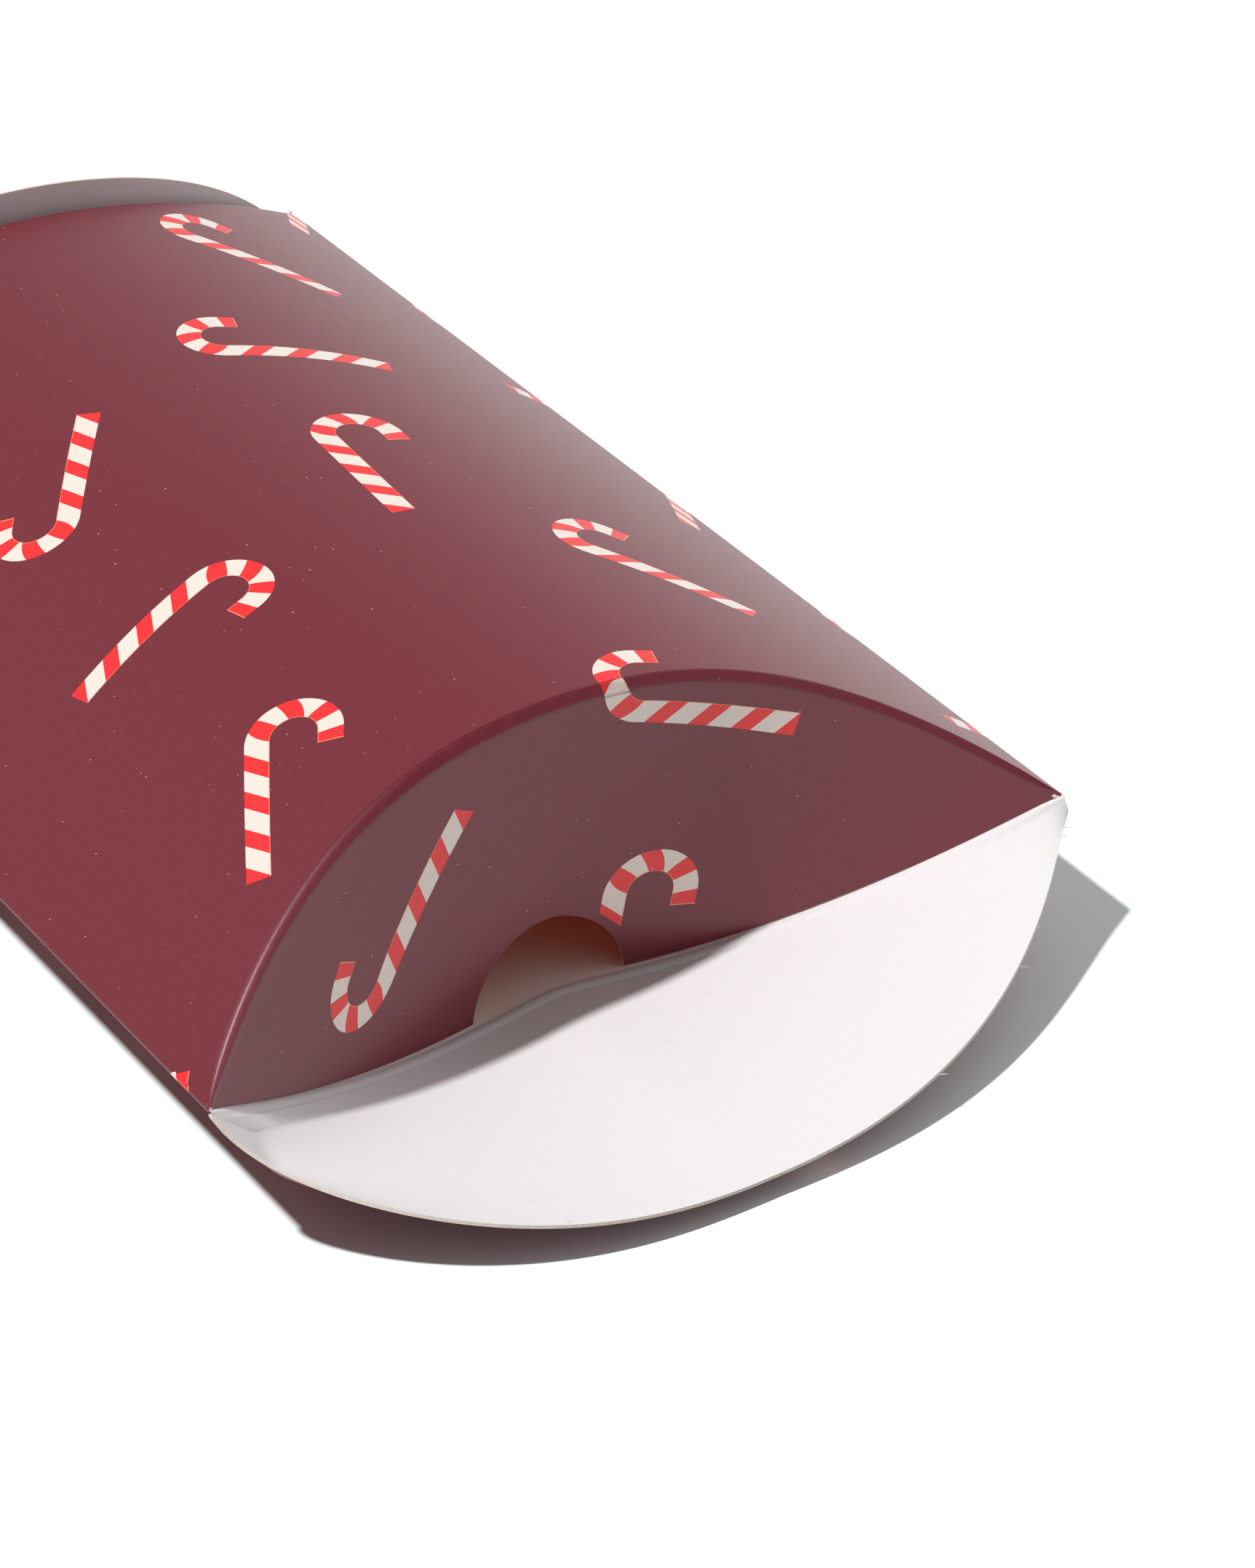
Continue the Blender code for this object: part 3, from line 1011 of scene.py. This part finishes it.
def closedEdge(end, x, thickness):
    def crease(q):
        return topCrease(end, q)

    rise = 1 - abs(2 * x / flaps["closedRiseWidth"]) ** flaps["closedFullness"]
    out = crease(x) + (flaps["closedTipLean"] + thickness) * slant(crease, x)
    top = max(topZ(x) + flaps["closedTipRise"] * rise, bottomZ(x) + flaps["closedLeast"])
    return min(out, halfLength + flaps["closedMost"]), top


def outerFlap(name, body, end, restsOpen):
    columns = []
    edgeX = half * flaps["outerShare"]
    for x in np.linspace(-edgeX, edgeX, flaps["columns"]):
        crease = bottomCrease(x)
        if restsOpen:
            corner = (crease, bottomZ(x))
            rest = openEdge(x)
            goal = closedEdge(end, x, 0.0)
            skew = skewAt(x)
        else:
            foot = min((flaps["closedFootGap"] + box["board"]) * slant(bottomCrease, x),
                       halfLength + flaps["closedMost"] - crease)
            corner = (crease + foot, bottomZ(x))
            rest = closedEdge(end, x, box["board"])
            goal = openEdge(x)
            skew = 0.0
        length, heading = straight(corner, rest)
        inset = creases["scoreInset" if restsOpen else "foldInset"] * taper(x, creases["outerReach"])
        inset = min(inset, length * flaps["outerFoldShare"])
        steps = flaps["foldSteps"]
        column = []
        if restsOpen:
            for i in range(steps + 1):
                d = inset * (2 * i / steps - 1)
                w, z = ahead(corner, (1.0, 0.0) if d < 0 else heading, d)
                rise = creases["scoreRise"] * (1 + math.cos(math.pi * d / max(inset, 0.01))) / 2
                rise *= min(1.0, inset / creases["fullScore"])
                column.append([w, z + rise, d])
        else:
            arc = foldArc(corner, heading, True, inset, steps, creases["foldEdge"])[0]
            for i, (w, z) in enumerate(arc):
                column.append([w, z, inset * (2 * i / steps - 1)])
        for i in range(1, flaps["rows"] + 1):
            d = inset + (length - inset) * i / flaps["rows"]
            share = d / length
            hollow = flaps["leftHollow"] * 4 * share * (1 - share) * max(0.0, -x / half) * restsOpen
            hollow *= min(1.0, length / flaps["hollowLength"]) ** 2
            w, z = ahead(corner, heading, d)
            column.append([w, z - hollow, d])
        pivot = outerPivot(restsOpen)
        turns = []
        for w, z, d in column:
            share = d / length
            aim = [a + (b - a) * share for a, b in zip(corner, goal)]
            if d < 0:
                aim = [corner[0] + d, corner[1]]
            turn = turnTo(pivot, (w, z), aim)
            turns.append((turn if restsOpen else -turn) / flaps[body])
        for i in range(steps + 1):
            turns[i] = min(max(0.0, turns[i]), max(0.0, turns[steps + 1])) if column[i][2] > 0 else 0.0
        across = float(bottomAcross(x))
        start = halfLength + end * crease
        columns.append([(x + skew * max(0.0, d) / length, end * w, z, across, start + end * d,
                         foldMark(d, inset), turn)
                        for (w, z, d), turn in zip(column, turns)])
    return finishFlap(name, body, columns, end)


def settleInside(turn, mesh, pivot, travel, end, rows):
    # A white inside point turns as far as keeps it behind the printed point in front of it when the
    # flap stands at its other limit. Real numbers run along the box, imaginary ones up.
    rest = np.array([end * v.co.y / mm - pivot[0] + 1j * v.co.z / mm for v in mesh.vertices])
    moved = rest * np.exp(1j * np.radians(travel * turn))
    count = len(rest) // 2
    along = np.gradient(moved[:count].reshape(-1, rows), axis=1).ravel()
    side = 1j * along.conj() / np.maximum(np.abs(along), 0.000001)
    behind = ((moved[count:] - moved[:count]) * side).real
    speed = (1j * moved[count:] * side).real
    more = -(behind + flaps["insideDepth"]) / np.where(np.abs(speed) > 1.0, speed, np.inf)
    needed = (behind > -flaps["insideDepth"]) & (turn[:count] > 0)
    most = flaps["insideMost"]
    turn[count:] += np.where(needed, np.clip(np.degrees(more), -most, most) / travel, 0.0)
    np.clip(turn, 0.0, 1.0, out=turn)


def finishFlap(name, body, columns, end):
    obj = gridObject(name, columns)
    isOuter = body.endswith("outer")
    opens = body == "near_outer"
    outwards(obj, (0, 0, -1) if opens else (0, end, 0))
    thicken(obj, boardFinishes)
    turn = readPoints(obj.data, "turn")
    if isOuter:
        travel = flaps[body] if opens else -flaps[body]
        settleInside(turn, obj.data, outerPivot(opens), travel, end, len(columns[0]))
        setPoints(obj.data, "turn", "FLOAT", turn)
    # The rim that joins the panel is no cut edge, nor are the ends that turn in under the side creases.
    for face in obj.data.polygons:
        joined = max(abs(turn[v]) for v in face.vertices) < 0.0001
        tuckedIn = not opens and abs(face.center.x) > flaps["rimFrom"] * mm
        if face.material_index == 2 and (joined or tuckedIn):
            face.material_index = 0
    # Nothing stands out of the box that holds the whole part.
    for vertex in obj.data.vertices:
        vertex.co = [min(max(q, low), high) for q, low, high in zip(vertex.co, cadLow, cadHigh)]
    hinge = Vector((0.0, end * (bottomCrease(0.0) if isOuter else topCrease(end, 0.0)) * mm,
                    0.0 if isOuter else topZ(0.0) * mm))
    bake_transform(obj, "case", body, hinge, hinge + Vector((0.0, end * 0.001, 0.0)))
    setPoints(obj.data, "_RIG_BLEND", "FLOAT", turn)
    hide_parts(body + "_flap")
    return obj


innerFlap("nearInnerFlapSkin", "near_inner", -1)
innerFlap("farInnerFlapSkin", "far_inner", 1)
nearOuter = outerFlap("nearOuterFlapSkin", "near_outer", -1, True)
outerFlap("farOuterFlapSkin", "far_outer", 1, False)
print("flaps built")

fibres = {
    "along": (48.75, 48.3, 47.3, 46.4, 45.2, 43.0, 40.2, 36.1, 33.0, 21.0, 5.5, -22.0),
    "length": 1.1,
    "bend": 0.35,
    "thickness": 0.042,
    "turn": (0.5, 0.5, 0.9),
    "sizes": (0.45, 1.3),
    "inset": 0.1,
    "seed": 7,
}


def fibreTree():
    # A short bent thread at each point, turned and sized at random.
    tree, get = startTree("paperFibres", [
        ("Geometry", "Geometry"), ("Length", "Float"), ("Bend", "Float"), ("Thickness", "Float"),
        ("Turn", "Vector"), ("Seed", "Int"), ("Material", "Material")])
    middle = joinXyz(tree, times(tree, get["Length"], 0.5), get["Bend"])
    thread = make(tree, "GeometryNodeCurveQuadraticBezier", {
        "Resolution": 5, "Start": joinXyz(tree, 0.0, 0.0), "Middle": middle,
        "End": joinXyz(tree, get["Length"], 0.0)})[0]
    ring = make(tree, "GeometryNodeCurvePrimitiveCircle", {"Resolution": 4, "Radius": get["Thickness"]})[0]
    tube = make(tree, "GeometryNodeCurveToMesh", {0: thread, 1: ring, "Fill Caps": True})[0]
    back = vectorCalc(tree, "MULTIPLY", get["Turn"], (-1.0, -1.0, -1.0))
    turn = make(tree, "FunctionNodeRandomValue", {0: back, 1: get["Turn"], "Seed": get["Seed"]},
                data_type="FLOAT_VECTOR")[0]
    least, most = fibres["sizes"]
    size = make(tree, "FunctionNodeRandomValue", {2: least, 3: most, "Seed": get["Seed"]})[1]
    grown = make(tree, "GeometryNodeInstanceOnPoints", {
        "Points": get["Geometry"], "Instance": tube, "Rotation": turn, "Scale": size})[0]
    return endTree(tree, grown, get["Material"])


def looseFibres(flap):
    # Torn fibres on the open flap's cut edge; each moves with the point of the flap next to it.
    places = []
    for x in fibres["along"]:
        y, z = openEdge(x)
        places.append((x + skewAt(x) - fibres["inset"], fibres["inset"] - y, z + fibres["inset"]))
    roots = np.array(places) * mm
    mesh = bpy.data.meshes.new("looseFibres")
    mesh.from_pydata(roots.tolist(), [], [])
    mesh.materials.append(fibreFinish)
    obj = grow("looseFibres", fibreTree(), {
        "Length": fibres["length"] * mm,
        "Bend": fibres["bend"] * mm,
        "Thickness": fibres["thickness"] * mm,
        "Turn": fibres["turn"],
        "Seed": fibres["seed"],
        "Material": fibreFinish,
    }, mesh)
    flapPoints = np.array([v.co for v in flap.data.vertices])
    turn = readPoints(flap.data, "turn")
    weights = []
    for vertex in obj.data.vertices:
        root = roots[np.argmin(((roots - np.array(vertex.co)) ** 2).sum(1))]
        weights.append(turn[np.argmin(((flapPoints - root) ** 2).sum(1))])
    hinge = Vector((0.0, -bottomCrease(0.0) * mm, 0.0))
    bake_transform(obj, "case", "near_outer", hinge, hinge + Vector((0.0, -0.001, 0.0)))
    setPoints(obj.data, "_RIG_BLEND", "FLOAT", weights)


looseFibres(nearOuter)
print("fibres built")

for nodeName, finish in (("glue_tab", tabFinish), ("glue_line", glueFinish)):
    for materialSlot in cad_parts[nodeName].material_slots:
        materialSlot.material = finish
print("glued seam dressed")

# Floor, light and camera.
studio = {
    "floorSize": 6.0,       # metres
    "floorRoughness": 0.9,
    "floorTone": 0.6,
    "floorSeen": (1.09, 1.17, 1.17, 1),
    "floorMirrored": 0.95,
    "ambient": 0.31,
    "ambientLean": 1.6,     # how much more light comes from the bright side than from the far one
    "ambientLeast": 0.06,
    "brightSide": (0.92, 0.08, 0.0),
    "backdrop": 1.0,
    "horizon": (0.12, 0.72),
    "overhead": 0.12,       # what gloss mirrors from above; the horizon is as bright as the backdrop
    "glossBase": 0.62,
    "glossLean": 0.40,
    "sunStrength": 2.9,
    "sunAngle": 2.6,
    "towardSun": (-0.505, 0.09, 1.0),
    "cameraPlace": (-232.99, -450.38, 313.25),
    "yaw": 31.892,
    "pitch": 32.453,
    "roll": 0.943,
    "lens": 154.41,
}


def rayKinds(tree):
    # Rays that see a surface directly or through glass, and rays that mirror it.
    rays = make(tree, "ShaderNodeLightPath")
    return larger(tree, rays["Is Camera Ray"], rays["Is Transmission Ray"]), rays["Is Glossy Ray"]


def paleFloor():
    size = studio["floorSize"] / 2
    mesh = bpy.data.meshes.new("studioFloor")
    mesh.from_pydata([(-size, -size, 0), (size, -size, 0), (size, size, 0), (-size, size, 0)], [],
                     [(0, 1, 2, 3)])
    floor = freshObject("studioFloor", mesh)
    material, tree, shader = startMaterial("paleFloor")
    seen, glossy = rayKinds(tree)
    color = mixColor(tree, glossy, (*[studio["floorTone"]] * 3, 1), (*[studio["floorMirrored"]] * 3, 1))
    color = mixColor(tree, seen, color, studio["floorSeen"])
    setInputs(tree, shader, {"Base Color": color, "Roughness": studio["floorRoughness"],
                             "Specular IOR Level": 0.0})
    mesh.materials.append(material)


def backdrop():
    world = bpy.data.worlds.new("studioWorld")
    bpy.context.scene.world = world
    world.use_nodes = True
    tree = world.node_tree
    background = tree.nodes["Background"]
    aim = make(tree, "ShaderNodeTexCoord")["Generated"]
    upwards = splitXyz(tree, aim)[2]
    sideways = vectorCalc(tree, "DOT_PRODUCT", aim, studio["brightSide"])
    # Soft light is stronger from the right, so that shadows on the left go dark.
    soft = timesPlus(tree, sideways, studio["ambientLean"], 1.0)
    soft = times(tree, soft, studio["ambient"])
    soft = larger(tree, soft, studio["ambient"] * studio["ambientLeast"])
    gloss = ramp(tree, upwards, *studio["horizon"], studio["backdrop"], studio["overhead"])
    lean = timesPlus(tree, sideways, studio["glossLean"], studio["glossBase"])
    seen, glossy = rayKinds(tree)
    strength = mixNumber(tree, glossy, soft, times(tree, gloss, lean))
    strength = mixNumber(tree, seen, strength, studio["backdrop"])
    setInputs(tree, background, {"Color": (1, 1, 1, 1), "Strength": strength})


def windowLight():
    lamp = bpy.data.lights.new("window", "SUN")
    lamp.energy = studio["sunStrength"]
    lamp.angle = math.radians(studio["sunAngle"])
    obj = freshObject("window", lamp)
    obj.rotation_mode = "QUATERNION"
    obj.rotation_quaternion = Vector(studio["towardSun"]).to_track_quat("Z", "Y")


def photoCamera():
    yaw, pitch, roll = (math.radians(studio[k]) for k in ("yaw", "pitch", "roll"))
    forward = Vector((math.sin(yaw) * math.cos(pitch), math.cos(yaw) * math.cos(pitch), -math.sin(pitch)))
    right = forward.cross(Vector((0, 0, 1))).normalized()
    down = forward.cross(right)
    turnedRight = math.cos(roll) * right + math.sin(roll) * down
    turnedDown = -math.sin(roll) * right + math.cos(roll) * down
    data = bpy.data.cameras.new("photoCamera")
    data.lens = studio["lens"]
    data.sensor_fit = "HORIZONTAL"
    data.sensor_width = 36.0
    data.clip_start = 0.01
    data.clip_end = 50.0
    camera = freshObject("photoCamera", data)
    axes = Matrix((turnedRight, -turnedDown, -forward)).transposed().to_4x4()
    camera.matrix_world = Matrix.Translation(Vector(studio["cameraPlace"]) * mm) @ axes
    bpy.context.scene.camera = camera


paleFloor()
backdrop()
windowLight()
photoCamera()
bpy.context.scene.view_settings.view_transform = "Standard"
print("studio ready")
